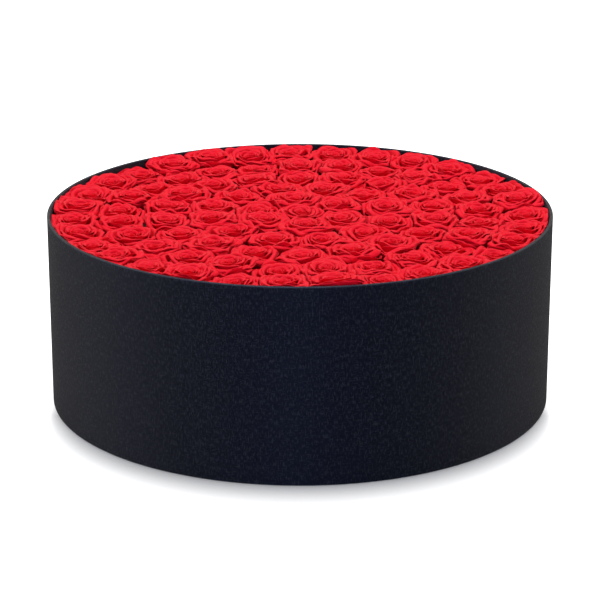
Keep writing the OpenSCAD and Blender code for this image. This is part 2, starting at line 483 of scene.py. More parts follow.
@dataclass(frozen=True)
class DryFoam(Finish):
    """Cut dry floral foam, full of small open cells darkened with painted shade."""

    face: Colour = (0.060, 0.125, 0.062)
    # Colour of the open cells: painted shade where they sink in.
    pit_shade: Colour = (0.018, 0.045, 0.022)
    rougher: float = 0.0
    smooth_from: Span = (0.0, 1.0)
    relief: float = 0.6 * MM
    relief_strength: float = 0.8

    def make(self, effects: EffectLibrary) -> bpy.types.Material:
        """Makes the material for any piece, by its place in the box.

        Args:
            effects: The shared effects.

        Returns:
            The material.
        """
        material, n, shader = self.start()
        place = n.add("ShaderNodeTexCoord").outputs["Object"]
        crumb = n.effect(effects.crumb, Place=place)
        cloudy = n.range(n.noise(place, scale=25.0), 0.25, 0.75, 0.75, 1.15)
        # Painted shade: the open cells are darker.
        shaded_pits = n.tint(crumb.outputs["PitShade"], self.face, self.pit_shade)
        shade = n.add("ShaderNodeCombineXYZ", {axis: cloudy for axis in range(3)}).outputs[0]
        colour = n.tint(1.0, shaded_pits, shade, "MULTIPLY")
        self.coat(n, shader, colour, crumb.outputs["Height"], crumb.outputs["Height"])
        return material


@dataclass(frozen=True)
class PetalSkin(Finish):
    """Preserved rose petal: velvety, with painted shade darkening its foot down in the head and a painted
    highlight along its lip.
    """

    # The three colours run from painted shade at the foot to a painted highlight on the lip, and also carry
    # the petals' random tone.
    deep_and_shaded: Colour = (0.88, 0.0008, 0.0140)
    middle: Colour = (0.91, 0.0030, 0.0220)
    bright_and_highlit: Colour = (0.95, 0.0175, 0.0400)
    mottling: float = 0.22
    veining: float = 0.12
    toning: float = 0.36
    smoother: float = 0.06

    def make(self, effects: EffectLibrary) -> bpy.types.Material:
        """Makes the material for a piece with the attributes petal_at and tone.

        Args:
            effects: The shared effects.

        Returns:
            The material.
        """
        material, n, shader = self.start()
        place, tone = n.attribute("petal_at", "Vector"), n.attribute("tone", "Fac")
        reach = n.add("ShaderNodeSeparateXYZ", {0: place}).outputs[1]
        vein = n.effect(effects.vein, Place=place)
        # Painted shade and highlight: darker towards the petal's foot, lighter towards its lip; mottle, veins
        # and tone then vary it at random.
        level = n.range(reach, 0.1, 0.8, 0.18, 0.62)
        uneven = (vein.outputs["Mottle"], self.mottling), (vein.outputs["Vein"], self.veining)
        for value, spread in (*uneven, (tone, self.toning)):
            level = n.math("ADD", level, n.math("MULTIPLY_ADD", value, spread, -spread / 2))
        low = n.tint(n.range(level, 0.0, 0.5), self.deep_and_shaded, self.middle)
        colour = n.tint(n.range(level, 0.5, 1.0), low, self.bright_and_highlit)
        self.coat(n, shader, colour, vein.outputs["Mottle"], vein.outputs["Vein"])
        return material


@dataclass(frozen=True)
class LeafSkin(Finish):
    """Green of the hip, sepals and stem, blushed towards the sepals' tips."""

    dark: Colour = (0.035, 0.075, 0.018)
    light: Colour = (0.115, 0.185, 0.052)
    blush: Colour = (0.16, 0.055, 0.030)

    def make(self, effects: EffectLibrary) -> bpy.types.Material:
        """Makes the material for a piece with the attributes petal_at and tone.

        Args:
            effects: The shared effects.

        Returns:
            The material.
        """
        material, n, shader = self.start()
        place, tone = n.attribute("petal_at", "Vector"), n.attribute("tone", "Fac")
        vein = n.effect(effects.vein, Place=place)
        green = n.tint(n.blend(0.5, vein.outputs["Vein"], tone), self.dark, self.light)
        reach = n.add("ShaderNodeSeparateXYZ", {0: place}).outputs[1]
        blushed = n.math("MULTIPLY", n.range(reach, 0.55, 1.0), vein.outputs["Mottle"])
        colour = n.tint(blushed, green, self.blush)
        self.coat(n, shader, colour, vein.outputs["Mottle"], vein.outputs["Vein"])
        return material


@dataclass(frozen=True)
class PickWood(Finish):
    """Plain birch, straight grained."""

    dark: Colour = (0.36, 0.22, 0.11)
    light: Colour = (0.66, 0.48, 0.29)
    rougher: float = 0.1
    smoother: float = 0.05
    smooth_from: Span = (0.0, 1.0)
    relief: float = 0.1 * MM

    def make(self, effects: EffectLibrary) -> bpy.types.Material:
        """Makes the material for any piece that stands along Z.

        Args:
            effects: The shared effects.

        Returns:
            The material.
        """
        material, n, shader = self.start()
        place = n.add("ShaderNodeTexCoord").outputs["Object"]
        grain = n.effect(effects.grain, Place=place).outputs["Grain"]
        self.coat(n, shader, n.tint(grain, self.dark, self.light), grain, grain)
        return material


# ---------------------------------------------------------------- mesh helpers


@dataclass
class Sheets:
    """Vertices, faces and vertex attributes gathered for one mesh."""

    points: list[Array] = field(default_factory=list)
    faces: list[Array] = field(default_factory=list)
    marks: dict[str, list[Array]] = field(default_factory=dict)
    count: int = 0

    def add(self, points: Array, faces: Array, **marks: Array) -> None:
        """Adds a patch of mesh.

        Args:
            points: Its vertices, n by 3.
            faces: Its quads, as numbers of those vertices.
            marks: Attribute values by name, one row per vertex.
        """
        self.points.append(points)
        self.faces.append(faces + self.count)
        for name, values in marks.items():
            self.marks.setdefault(name, []).append(values)
        self.count += len(points)

    def add_thin(self, surface: Array, done: Array, thickness: Array, seed: float, tone: float) -> None:
        """Adds a thin closed leaf with the marks that its skin reads.

        Args:
            surface: Points of its middle surface, rows by columns by 3.
            done: Share of its length at each point.
            thickness: Full thickness at each point.
            seed: Where its veins are taken from.
            tone: How light it is, from 0 to 1.
        """
        points, faces = thick_sheet(surface, thickness)
        across = np.broadcast_to(np.linspace(-1, 1, done.shape[1]), done.shape)
        mark = np.stack([across, done, np.full(done.shape, seed)], -1).reshape(-1, 3)
        tones = np.full(len(points), tone)
        self.add(points, faces, petal_at=np.concatenate([mark, mark]), tone=tones)

    def build(self, name: str, material: bpy.types.Material) -> bpy.types.Object:
        """Makes the object.

        Args:
            name: Its name.
            material: Its one material.

        Returns:
            The object, smooth shaded and linked to the scene.
        """
        mesh = bpy.data.meshes.new(name)
        points = np.concatenate(self.points)
        faces = np.concatenate(self.faces)
        mesh.vertices.add(len(points))
        mesh.vertices.foreach_set("co", points.astype(np.float32).ravel())
        mesh.loops.add(faces.size)
        mesh.loops.foreach_set("vertex_index", faces.astype(np.int32).ravel())
        mesh.polygons.add(len(faces))
        mesh.polygons.foreach_set("loop_start", np.arange(0, faces.size, 4, dtype=np.int32))
        mesh.polygons.foreach_set("use_smooth", np.ones(len(faces), bool))
        mesh.update(calc_edges=True)
        for mark, parts in self.marks.items():
            values = np.concatenate(parts).astype(np.float32)
            kind, key = ("FLOAT_VECTOR", "vector") if values.ndim == 2 else ("FLOAT", "value")
            mesh.attributes.new(mark, kind, "POINT").data.foreach_set(key, values.ravel())
        mesh.validate()
        mesh.materials.append(material)
        made = bpy.data.objects.new(name, mesh)
        bpy.context.scene.collection.objects.link(made)
        return made


def grid_faces(rows: int, columns: int, closed: bool = False) -> Array:
    """Quads of a grid of vertices that is numbered row by row.

    Args:
        rows: Number of rows.
        columns: Number of columns.
        closed: Whether the last column joins the first.

    Returns:
        The quads, as vertex numbers.
    """
    row = np.arange(rows - 1)[:, None]
    column = np.arange(columns if closed else columns - 1)[None, :]
    after = (column + 1) % columns
    corners = (row * columns + column, row * columns + after)
    upper = (corners[1] + columns, corners[0] + columns)
    return np.stack([*corners, *upper], -1).reshape(-1, 4)


def sheet_normals(surface: Array) -> Array:
    """Unit normals of a grid of points.

    Args:
        surface: Points, rows by columns by 3.

    Returns:
        Normals of the same shape.
    """
    down = np.gradient(surface, axis=0)
    across = np.gradient(surface, axis=1)
    normal = np.cross(across, down)
    return normal / np.maximum(np.linalg.norm(normal, axis=-1, keepdims=True), 1e-12)


def thick_sheet(surface: Array, thickness: Array) -> tuple[Array, Array]:
    """Turns a grid of points into a closed thin sheet.

    Args:
        surface: Points of the middle surface, rows by columns by 3.
        thickness: Full thickness at each point, rows by columns.

    Returns:
        Vertices and quads of the closed sheet: one face, then the other.
    """
    rows, columns = surface.shape[:2]
    half = sheet_normals(surface) * thickness[..., None] / 2
    points = np.concatenate([(surface + half).reshape(-1, 3), (surface - half).reshape(-1, 3)])
    face = grid_faces(rows, columns)
    number = np.arange(rows * columns).reshape(rows, columns)
    rim = np.concatenate([number[0, :-1], number[:-1, -1], number[-1, :0:-1], number[:0:-1, 0]])
    after = np.roll(rim, -1)
    other = rows * columns
    edge = np.stack([rim, rim + other, after + other, after], -1)
    return points, np.concatenate([face[:, ::-1], face + other, edge[:, ::-1]])


def bezier(controls: Array, at: Array) -> Array:
    """Points on a cubic curve.

    Args:
        controls: Its four control points, 4 by 2.
        at: Parameters, of any shape.

    Returns:
        Points, with one more axis of length 2.
    """
    rest = 1 - at
    shares = np.stack([rest**3, 3 * rest**2 * at, 3 * rest * at**2, at**3], -1)
    return shares @ controls


def bezier_slope(controls: Array, at: Array) -> Array:
    """Directions along a cubic curve.

    Args:
        controls: Its four control points, 4 by 2.
        at: Parameters, of any shape.

    Returns:
        Vectors of any length along the curve, with one more axis of length 2.
    """
    rest = 1 - at
    shares = np.stack([3 * rest**2, 6 * rest * at, 3 * at**2], -1)
    return shares @ np.diff(controls, axis=0)


def mix(low: float, high: float, share: float) -> float:
    """A number between two others."""
    return low + (high - low) * share


def bell(value: Array, width: float) -> Array:
    """A smooth bump that is 1 at 0 and gone a few widths away."""
    return np.exp(-((value / width) ** 2))


def soft_limit(value: Array, limit: Array, margin: float) -> Array:
    """Holds values under a limit, easing into it over a margin.

    Args:
        value: Values to hold.
        limit: The limit that they approach.
        margin: How far below the limit the easing starts.

    Returns:
        The held values.
    """
    over = np.maximum(value - (limit - margin), 0)
    return np.where(over > 0, limit - margin * np.exp(-over / margin), value)


# ---------------------------------------------------------------- the box


@dataclass
class BoxShell:
    """The drum: board, lining and the covering paper that folds in over the rim."""

    finish: ClothPaper = ClothPaper(
        "linen_wrap", roughness=0.48, specular=0.6, specular_tint=(0.46, 0.55, 1.0), anisotropic=0.75
    )
    lining: PlainPaper = PlainPaper("lining_paper", roughness=0.7, specular=0.3)
    board: PulpBoard = PulpBoard("greyboard", roughness=0.88, specular=0.25)
    segments: int = 448
    rim_round: float = 0.9 * MM
    foot_round: float = 0.8 * MM
    arc_steps: int = 5
    wall_rows: int = 14
    lap: float = 14 * MM
    lap_step: float = 0.3 * MM
    lap_ease: float = 0.8 * MM
    # Shares of the lighter edge colour on each fold: partly real rubbing, partly a painted highlight,
    # strongest on the rim.
    lap_wear_and_highlight: float = 0.35
    rim_wear_and_highlight: float = 1.0
    foot_wear_and_highlight: float = 0.5
    inside_wear_and_highlight: float = 0.15
    back: float = math.pi / 2

    def sizes(self) -> dict[str, float]:
        """Reads the covering paper's radii and heights from the frame, in metres."""
        wrap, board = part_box("outer_wrap"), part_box("wall_board")
        points = mesh_points("outer_wrap")
        radius = np.hypot(points[:, 0], points[:, 1])
        hem = points[:, 2] < wrap[0].z + 0.1 * MM
        inside = (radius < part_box("base_board")[1].x + 0.1 * MM) & (points[:, 2] > wrap[1].z / 2)
        return {
            "outer": wrap[1].x,
            "top": wrap[1].z,
            "hem_z": wrap[0].z,
            "board_outer": board[1].x,
            "board_inner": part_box("base_board")[1].x,
            "board_top": board[1].z,
            "board_foot": board[0].z,
            "inner": float(radius[inside].min()),
            "turn_in_z": float(points[inside, 2].min()),
            "hem_inner": float(radius[hem].min()),
        }

    def section(self, s: dict[str, float]) -> tuple[Array, Array]:
        """Closed section of the covering paper with rounded folds.

        Args:
            s: The sizes.

        Returns:
            Points as radius and height, and how much each lies on a fold.
        """
        path: list[tuple[float, float]] = []
        folds: list[float] = []

        def put(radius: float, height: float, fold: float = 0.0) -> None:
            """Adds one point."""
            path.append((radius, height))
            folds.append(fold)

        def arc(
            radius: float, height: float, size: float, start: float, sweep: float, wear_and_highlight_share: float
        ) -> None:
            """Adds a rounded fold, rubbed and given a painted highlight most in its middle.

            Args:
                radius: The radius at which its centre lies.
                height: The height at which its centre lies.
                size: Its own radius.
                start: The angle at which it starts.
                sweep: The angle through which it turns.
                wear_and_highlight_share: How much its middle is rubbed and painted as highlight.
            """
            for step in range(self.arc_steps + 1):
                turn = start + sweep * step / self.arc_steps
                middle = math.sin(math.pi * (0.15 + 0.7 * step / self.arc_steps))
                put(radius + size * math.cos(turn), height + size * math.sin(turn), wear_and_highlight_share * middle)

        quarter = math.pi / 2
        rim, foot = self.rim_round, self.foot_round
        for row in range(4):
            put(s["inner"], s["turn_in_z"] + (s["top"] - 2 * rim - s["turn_in_z"]) * row / 3)
        arc(s["inner"] + rim, s["top"] - rim, rim, math.pi, -quarter, self.inside_wear_and_highlight)
        arc(s["outer"] - rim, s["top"] - rim, rim, quarter, -quarter, self.rim_wear_and_highlight)
        high, low = s["top"] - 2 * rim, s["hem_z"] + 2 * foot
        for row in range(self.wall_rows + 1):
            put(s["outer"], high + (low - high) * row / self.wall_rows)
        arc(s["outer"] - foot, s["hem_z"] + foot, foot, 0.0, -quarter, self.foot_wear_and_highlight)
        corners = (
            ("hem_inner", "hem_z"), ("hem_inner", "board_foot"), ("board_outer", "board_foot"),
            ("board_outer", "board_top"), ("board_inner", "board_top"), ("board_inner", "turn_in_z"),
        )
        for radius, height in corners:
            put(s[radius], s[height])
        return np.array(path), np.array(folds)

    def angles(self, outer: float) -> Array:
        """Angles of the columns, once round from the paper's end at the back, closer at its lap.

        Args:
            outer: The covering's outer radius.

        Returns:
            The angles, the last of which is a full turn past the first.
        """
        even = np.arange(self.segments) * FULL_TURN / self.segments + self.back
        near = np.linspace(0, 1, 5) * self.lap_ease
        lap = np.concatenate([near, self.lap + near]) / outer + self.back
        keep = np.abs(even[:, None] - lap[None, :]).min(1) > 0.6 * MM / outer
        return np.sort(np.concatenate([even[keep], lap, [self.back + FULL_TURN]]))

    def covering(self, material: bpy.types.Material) -> bpy.types.Object:
        """Builds the covering paper with its lapped joint at the back.

        Args:
            material: The linen paper.

        Returns:
            The piece.
        """
        s = self.sizes()
        section, folds = self.section(s)
        turns = self.angles(s["outer"])
        lengths = np.append(0, np.cumsum(np.linalg.norm(np.diff(section, axis=0), axis=1)))
        from_back = (turns - self.back) * s["outer"]
        rise = np.clip(from_back / self.lap_ease, 0, 1)
        fall = np.clip((from_back - self.lap) / self.lap_ease, 0, 1)
        proud = self.lap_step * (rise - fall)
        on_wall = (section[:, 0] > s["outer"] - 0.01 * MM).astype(float)
        radius = section[:, 0][:, None] + on_wall[:, None] * proud[None, :]
        height = np.broadcast_to(section[:, 1][:, None], radius.shape)
        surface = np.stack([radius * np.cos(turns), radius * np.sin(turns), height], -1)
        rows, columns = surface.shape[:2]
        # The lap's edge takes the lighter edge colour too: partly rubbing, partly a painted highlight.
        lap_edge_wear_and_highlight = self.lap_wear_and_highlight * bell(from_back, 0.5 * self.lap_ease)
        fold = np.clip(folds[:, None] + lap_edge_wear_and_highlight[None, :] * on_wall[:, None], 0, 1)
        unrolled = (turns * s["outer"], lengths[:, None], 0.0)
        weave_at = np.stack([np.broadcast_to(part, (rows, columns)) for part in unrolled], -1)
        faces = grid_faces(rows, columns)
        first = np.arange(columns - 1)
        after = first + 1
        last = (rows - 1) * columns
        close = np.stack([last + first, last + after, after, first], -1)
        sheets = Sheets()
        sheets.add(
            surface.reshape(-1, 3),
            np.concatenate([faces, close])[:, ::-1],
            weave_at=weave_at.reshape(-1, 3),
            fold=fold.ravel(),
        )
        piece = sheets.build("linen_covering", material)
        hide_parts("outer_wrap")
        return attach(piece, "box")

    def build(self, effects: EffectLibrary, dress: "Dresser") -> None:
        """Builds the covering and dresses the board and lining.

        Args:
            effects: The shared effects.
            dress: Puts finishes on the frame's nodes.
        """
        piece = self.covering(self.finish.make(effects))
        log.info("%s: %d faces, folded in over the rim", piece.name, len(piece.data.polygons))
        dress.put_on(["wall_board", "base_board"], self.board.make(effects))
        dress.put_on(["inner_lining", "floor_lining", "base_paper"], self.lining.make(effects))


def mesh_points(node: str) -> Array:
    """Reads the vertices of a CAD node.

    Args:
        node: Its name.

    Returns:
        Points, n by 3, in metres.
    """
    mesh = bpy.data.objects[node].data
    points = np.empty(len(mesh.vertices) * 3, np.float32)
    mesh.vertices.foreach_get("co", points)
    return points.reshape(-1, 3).astype(float)


@dataclass
class Dresser:
    """Puts finishes on the frame's own nodes."""

    nodes: dict[str, bpy.types.Object]

    def put_on(self, names: list[str], material: bpy.types.Material) -> None:
        """Gives these nodes one finish.

        Args:
            names: The nodes.
            material: What they wear.
        """
        for name in names:
            for slot in self.nodes[name].material_slots:
                slot.material = material
            log.info("%s wears %s", name, material.name)


# ---------------------------------------------------------------- the insert


@dataclass
class Insert:
    """Riser boards, support disc and foam bed, which carry the roses."""

    card: PulpBoard = PulpBoard(
        "riser_card", roughness=0.86, specular=0.25, dark=(0.27, 0.185, 0.105),
        light=(0.44, 0.325, 0.20), fleck=(0.55, 0.44, 0.30), fineness=750.0,
    )
    foam: DryFoam = DryFoam("dry_foam", roughness=0.95, specular=0.15)
    wood: PickWood = PickWood("pick_wood", roughness=0.62, specular=0.35)

    def build(self, effects: EffectLibrary, dress: Dresser) -> None:
        """Dresses every piece of the insert below the roses.

        Args:
            effects: The shared effects.
            dress: Puts finishes on the frame's nodes.
        """
        boards = [name for name in dress.nodes if name.startswith("riser_")]
        dress.put_on([*boards, "support_disc"], self.card.make(effects))
        dress.put_on(["foam_bed"], self.foam.make(effects))
        picks = [name for name in dress.nodes if name.startswith("picks_")]
        dress.put_on(picks, self.wood.make(effects))


@dataclass(frozen=True)
class RoseSite:
    """Where one rose stands: the foot of its bloom, its axis and its size."""

    foot: Vector
    axis: Vector
    radius: float
    height: float
    sector: int
    widest: float = 0.6

    def middle(self) -> Array:
        """Where its widest part stands in plan."""
        return np.array(self.foot + self.axis * (self.widest * self.height))[:2]

    def place(self, points: Array) -> Array:
        """Leans and moves points drawn about the Z axis to where the rose stands."""
        lean = Vector((0, 0, 1)).rotation_difference(self.axis).to_matrix()
        return points @ np.array(lean).T + np.array(self.foot)


def pick_axes(node: str) -> list[tuple[Vector, Vector]]:
    """Foot and direction of each pick of a node.

    Args:
        node: The node of picks.

    Returns:
        The lowest point on each pick's axis, and its unit direction.
    """
    made = bmesh.new()
    made.from_mesh(bpy.data.objects[node].data)
    bmesh.ops.remove_doubles(made, verts=made.verts, dist=0.001 * MM)
    made.verts.ensure_lookup_table()
    seen: set[int] = set()
    found: list[tuple[Vector, Vector]] = []
    for start in made.verts:
        if start.index in seen:
            continue
        seen.add(start.index)
        queue, members = [start], []
        while queue:
            vertex = queue.pop()
            members.append(vertex.co.copy())
            for edge in vertex.link_edges:
                other = edge.other_vert(vertex)
                if other.index not in seen:
                    seen.add(other.index)
                    queue.append(other)
        heights = [m.z for m in members]
        half = (max(heights) + min(heights)) / 2
        ends = [
            sum(part, Vector()) / len(part)
            for part in ([m for m in members if m.z < half], [m for m in members if m.z >= half])
        ]
        found.append((ends[0], (ends[1] - ends[0]).normalized()))
    made.free()
    return sorted(found, key=lambda pick: (round(pick[0].x, 5), round(pick[0].y, 5)))


def rose_sites(sectors: int) -> list[RoseSite]:
    """Finds every rose from the picks and blooms of the frame.

    Args:
        sectors: Number of bloom nodes.

    Returns:
        The sites, sector by sector.
    """
    sites: list[RoseSite] = []
    for sector in range(1, sectors + 1):
        picks = pick_axes(f"picks_{sector}")
        points = mesh_points(f"blooms_{sector}")
        feet = np.array([p[0] for p in picks])
        axes = np.array([p[1] for p in picks])
        offset = points[:, None, :] - feet[None, :, :]
        along = np.einsum("vpk,pk->vp", offset, axes)
        aside = np.linalg.norm(offset - along[..., None] * axes, axis=-1)
        owner = aside.argmin(1)
        for number, (foot, axis) in enumerate(picks):
            mine = owner == number
            low, high = along[mine, number].min(), along[mine, number].max()
            radius = float(aside[mine, number].max())
            sites.append(RoseSite(foot + axis * low, axis, radius, float(high - low), sector))
    return sites


@dataclass(frozen=True)
class PetalForm:
    """How a petal is shaped, from the heart of a head to its outmost one.

    A pair holds a measure at the heart and at the outmost petal, but a play holds the least and the
    most that chance scales a measure by. Widths are shares of the bloom's radius, heights of its height.
    """

    rows: int = 6
    lip_rows: int = 5
    columns: int = 19
    foot_out: Span = (0.05, 0.24)
    upright: Span = (0.07, 0.74)
    flare: float = 0.06
    flare_play: Span = (0.7, 1.3)
    lip: Span = (0.10, 0.23)
    lip_play: Span = (0.8, 1.25)
    roll: Span = (math.radians(40), math.radians(124))
    roll_play: Span = (0.85, 1.12)
    spread: Span = (math.radians(150), math.radians(62))
    spread_play: Span = (0.9, 1.08)
    heart_start: float = 0.42
    heart_crest: float = 0.925
    crest_rise: float = 0.07
    crest_soon: float = 1.7
    crest_fall: float = 0.015
    crest_play: float = 0.013
    tip_most: float = 0.045
    side_short: Span = (0.13, 0.11)
    side_lean: Span = (0.05, 0.07)
    side_out: float = 0.05
    side_roll: float = 0.4
    side_lip: float = 0.45
    lip_uneven: float = 0.24
    point: float = 0.35
    point_play: Span = (0.2, 1.0)
    foot_width: float = 0.42
    widest: float = 0.62
    wave: Span = (0.012, 0.048)
    crease: float = 0.022
    least_out: float = 0.25 * MM

    def section(self, t: float, site: RoseSite, open_: float, draw: Draw) -> tuple[Array, float, float]:
        """A petal's upright section, up to where its lip starts to roll.

        Args:
            t: Its place in the head, from 0 for the heart to 1 for the outmost.
            site: The rose.
            open_: How far open this head is, about 1.
            draw: Random generator.

        Returns:
            Control points as radius and height, the length of the lip and the angle of its roll.
        """
        radius, height = site.radius, site.height
        upright = radius * mix(*self.upright, t**0.9)
        flare = radius * self.flare * (t + t**3) * open_ * draw.uniform(*self.flare_play)
        lip = radius * mix(*self.lip, t) * draw.uniform(*self.lip_play)
        roll = mix(*self.roll, t**0.8) * draw.uniform(*self.roll_play)
        rising = math.sin(math.pi / 2 * min(1.0, self.crest_soon * t))
        crest = height * (self.heart_crest + self.crest_rise * rising - self.crest_fall * t**3)
        crest += height * draw.normal(0, self.crest_play)
        crown = crest - 0.8 * lip * min(1.0, roll) / max(roll, 1.0)
        start = height * self.heart_start * (1 - t) ** 1.2
        controls = (
            (radius * mix(*self.foot_out, t), start),
            (upright * mix(0.9, 0.95, t), start + height * mix(0.08, 0.02, t)),
            (upright * mix(1.0, 1.06, t), mix(start, crown, 0.55)),
            (upright + flare, crown),
        )
        return np.array(controls), lip, roll

    def rolled(self, section: Array, heading: Array, fold: Array, step: Array) -> Array:
        """Carries a petal's section on along its rolled lip.

        Args:
            section: Its points as radius and height, rows by columns by 2.
            heading: Direction of each column where the lip starts.
            fold: Angle through which each column rolls.
            step: Length of each of the lip's rows, by column.

        Returns:
            The section with the lip's rows added.
        """
        rows, last = [section], section[-1]
        for k in range(1, self.lip_rows + 1):
            way = heading - fold * (k - 0.35) / self.lip_rows
            last = last + step[:, None] * np.stack([np.cos(way), np.sin(way)], -1)
            rows.append(last[None])
        return np.concatenate(rows)

    def surface(
        self, t: float, turn: float, site: RoseSite, open_: float, cell: Reach, draw: Draw
    ) -> tuple[Array, Array]:
        """A petal's middle surface about the Z axis, with its foot at the origin.

        Args:
            t: Its place in the head, from 0 for the heart to 1 for the outmost.
            turn: Direction that it faces, in radians.
            site: The rose.
            open_: How far open this head is, about 1.
            cell: Free distance from the head's axis at each angle.
            draw: Random generator.

        Returns:
            Points, rows by columns by 3, and the share of the petal's length at each.
        """
        radius = site.radius
        controls, lip, roll = self.section(t, site, open_, draw)
        spread = mix(*self.spread, t**0.5) * draw.uniform(*self.spread_play)
        u = np.linspace(-1, 1, self.columns)
        tip = draw.uniform(0.0, self.tip_most) * t
        length = 1 - mix(*self.side_short, t) * np.abs(u) ** 3 + tip * bell(u, 0.2)
        share = np.linspace(0, 1, self.rows)[:, None] * length
        slope = bezier_slope(controls, length)
        heading = np.arctan2(slope[:, 1], slope[:, 0])
        uneven = 1 + self.lip_uneven * np.sin(u * 5 + draw.uniform(0, 6))
        fold = roll * (1 - self.side_roll * u**2) * uneven
        point = self.point * t * bell(u, 0.3) * draw.uniform(*self.point_play)
        step = lip * (1 - self.side_lip * np.abs(u) ** 3 + point) / self.lip_rows
        section = self.rolled(bezier(controls, share), heading, fold, step)
        reached = np.concatenate([share, np.repeat(length[None], self.lip_rows, 0)])
        along = np.clip(reached, 0, 1)
        widening = np.sin(np.clip(along / self.widest, 0, 1) * math.pi / 2)
        angle = turn + spread * mix(self.foot_width, 1.0, widening) * u
        bend = along**1.5
        phase = draw.uniform(0, FULL_TURN, 4)
        wave = radius * mix(*self.wave, t)
        r = section[..., 0] + radius * mix(*self.side_lean, t) * u * bend
        r = r + wave * bend * (np.sin(3.4 * u + phase[0]) + 0.6 * np.sin(7.1 * u + phase[1]))
        r = r + radius * t * (self.side_out * np.abs(u) ** 4 - self.crease * bell(u, 0.22)) * bend
        z = section[..., 1]
        z = z + wave * bend * (0.7 * np.sin(4.3 * u + phase[2]) + 0.5 * np.sin(8.3 * u + phase[3]))
        full = 1 + (cell(angle) / radius - 1) * t**1.2 * along**1.2
        r = np.maximum(r * full, self.least_out)
        surface = np.stack([r * np.cos(angle), r * np.sin(angle), z], -1)
        done = np.linspace(0, 1, self.rows + self.lip_rows)[:, None] * np.ones_like(u)
        return surface, done


@dataclass(frozen=True)
class CalyxForm:
    """The green hip under a head, with its cut stem and its sepals.

    A sepal's start and length are shares of the bloom's radius.
    """

    sepals: int = 5
    rows: int = 7
    columns: int = 5
    thick: float = 0.75 * MM
    half_width: float = 2.9 * MM
    starts_at: float = 0.17
    long: Span = (0.50, 0.62)
    curl: Span = (-2.2 * MM, 1.0 * MM)
    play: float = 0.08
    hip_tone: Span = (0.25, 0.7)
    hip_round: int = 18
    hip_drawn_for: float = 22 * MM
    hip_least: float = 0.02 * MM

    def sepal(self, turn: float, site: RoseSite, draw: Draw) -> tuple[Array, Array]:
        """One sepal's middle surface, hugging the underside of the bloom.

        Args:
            turn: Direction that it points, in radians.
            site: The rose.
            draw: Random generator.

        Returns:
            Points, rows by columns by 3, and the share of its length at each.
        """
        v = np.linspace(0, 1, self.rows)[:, None]
        u = np.linspace(-1, 1, self.columns)[None, :]
        long = site.radius * draw.uniform(*self.long)
        curl = draw.uniform(*self.curl)
        r = site.radius * self.starts_at + long * v
        side = self.half_width * np.sin(np.clip(v * 0.82 + 0.16, 0, 1) * math.pi) ** 0.8 * u
        z = 0.14 * r**2 / site.radius + curl * v**3 + 0.12 * np.abs(side) - 1.0 * MM
        x = r * math.cos(turn) - side * math.sin(turn)
        y = r * math.sin(turn) + side * math.cos(turn)
        return np.stack([x, y, z], -1), v + 0 * u

    def hip(self, site: RoseSite) -> tuple[Array, Array, Array]:
        """The round hip and its cut stem, from the bloom's foot down.

        Args:
            site: The rose.

        Returns:
            Its vertices, quads and the share of its height at each vertex.
        """
        profile = (
            (0.0, -14.0), (2.45, -14.0), (2.7, -13.6), (2.72, -10.0), (3.3, -7.2), (4.6, -5.4),
            (5.55, -3.4), (5.3, -1.7), (4.5, -0.5), (3.4, -0.1), (0.0, -0.1),
        )
        r, z = np.array(profile).T[..., None] * MM * (site.radius / self.hip_drawn_for)
        r = np.maximum(r, self.hip_least)
        around = np.arange(self.hip_round) * FULL_TURN / self.hip_round
        points = np.stack([r * np.cos(around), r * np.sin(around), z + 0 * around], -1)
        share = np.broadcast_to(np.linspace(0, 0.5, len(r))[:, None], points.shape[:2])
        return points.reshape(-1, 3), grid_faces(*points.shape[:2], closed=True), share.ravel()

    def add(self, sheets: Sheets, site: RoseSite, draw: Draw) -> None:
        """Adds one rose's hip, stem and sepals to a mesh.

        Args:
            sheets: The mesh that it joins.
            site: The rose.
            draw: Random generator.
        """
        points, faces, share = self.hip(site)
        seed = draw.uniform(0, VEIN_SEEDS)
        around = np.arctan2(points[:, 1], points[:, 0]) / math.pi
        mark = np.stack([around, share, np.full(len(points), seed)], -1)
        tone = draw.uniform(*self.hip_tone)
        sheets.add(site.place(points), faces, petal_at=mark, tone=np.full(len(points), tone))
        spin = draw.uniform(0, FULL_TURN)
        for number in range(self.sepals):
            turn = spin + number * FULL_TURN / self.sepals + draw.normal(0, self.play)
            surface, done = self.sepal(turn, site, draw)
            thickness = self.thick * (1.1 - 0.7 * done)
            shade = np.clip(tone + draw.normal(0, self.play), 0, 1)
            sheets.add_thin(site.place(surface), done, thickness, seed + number, shade)


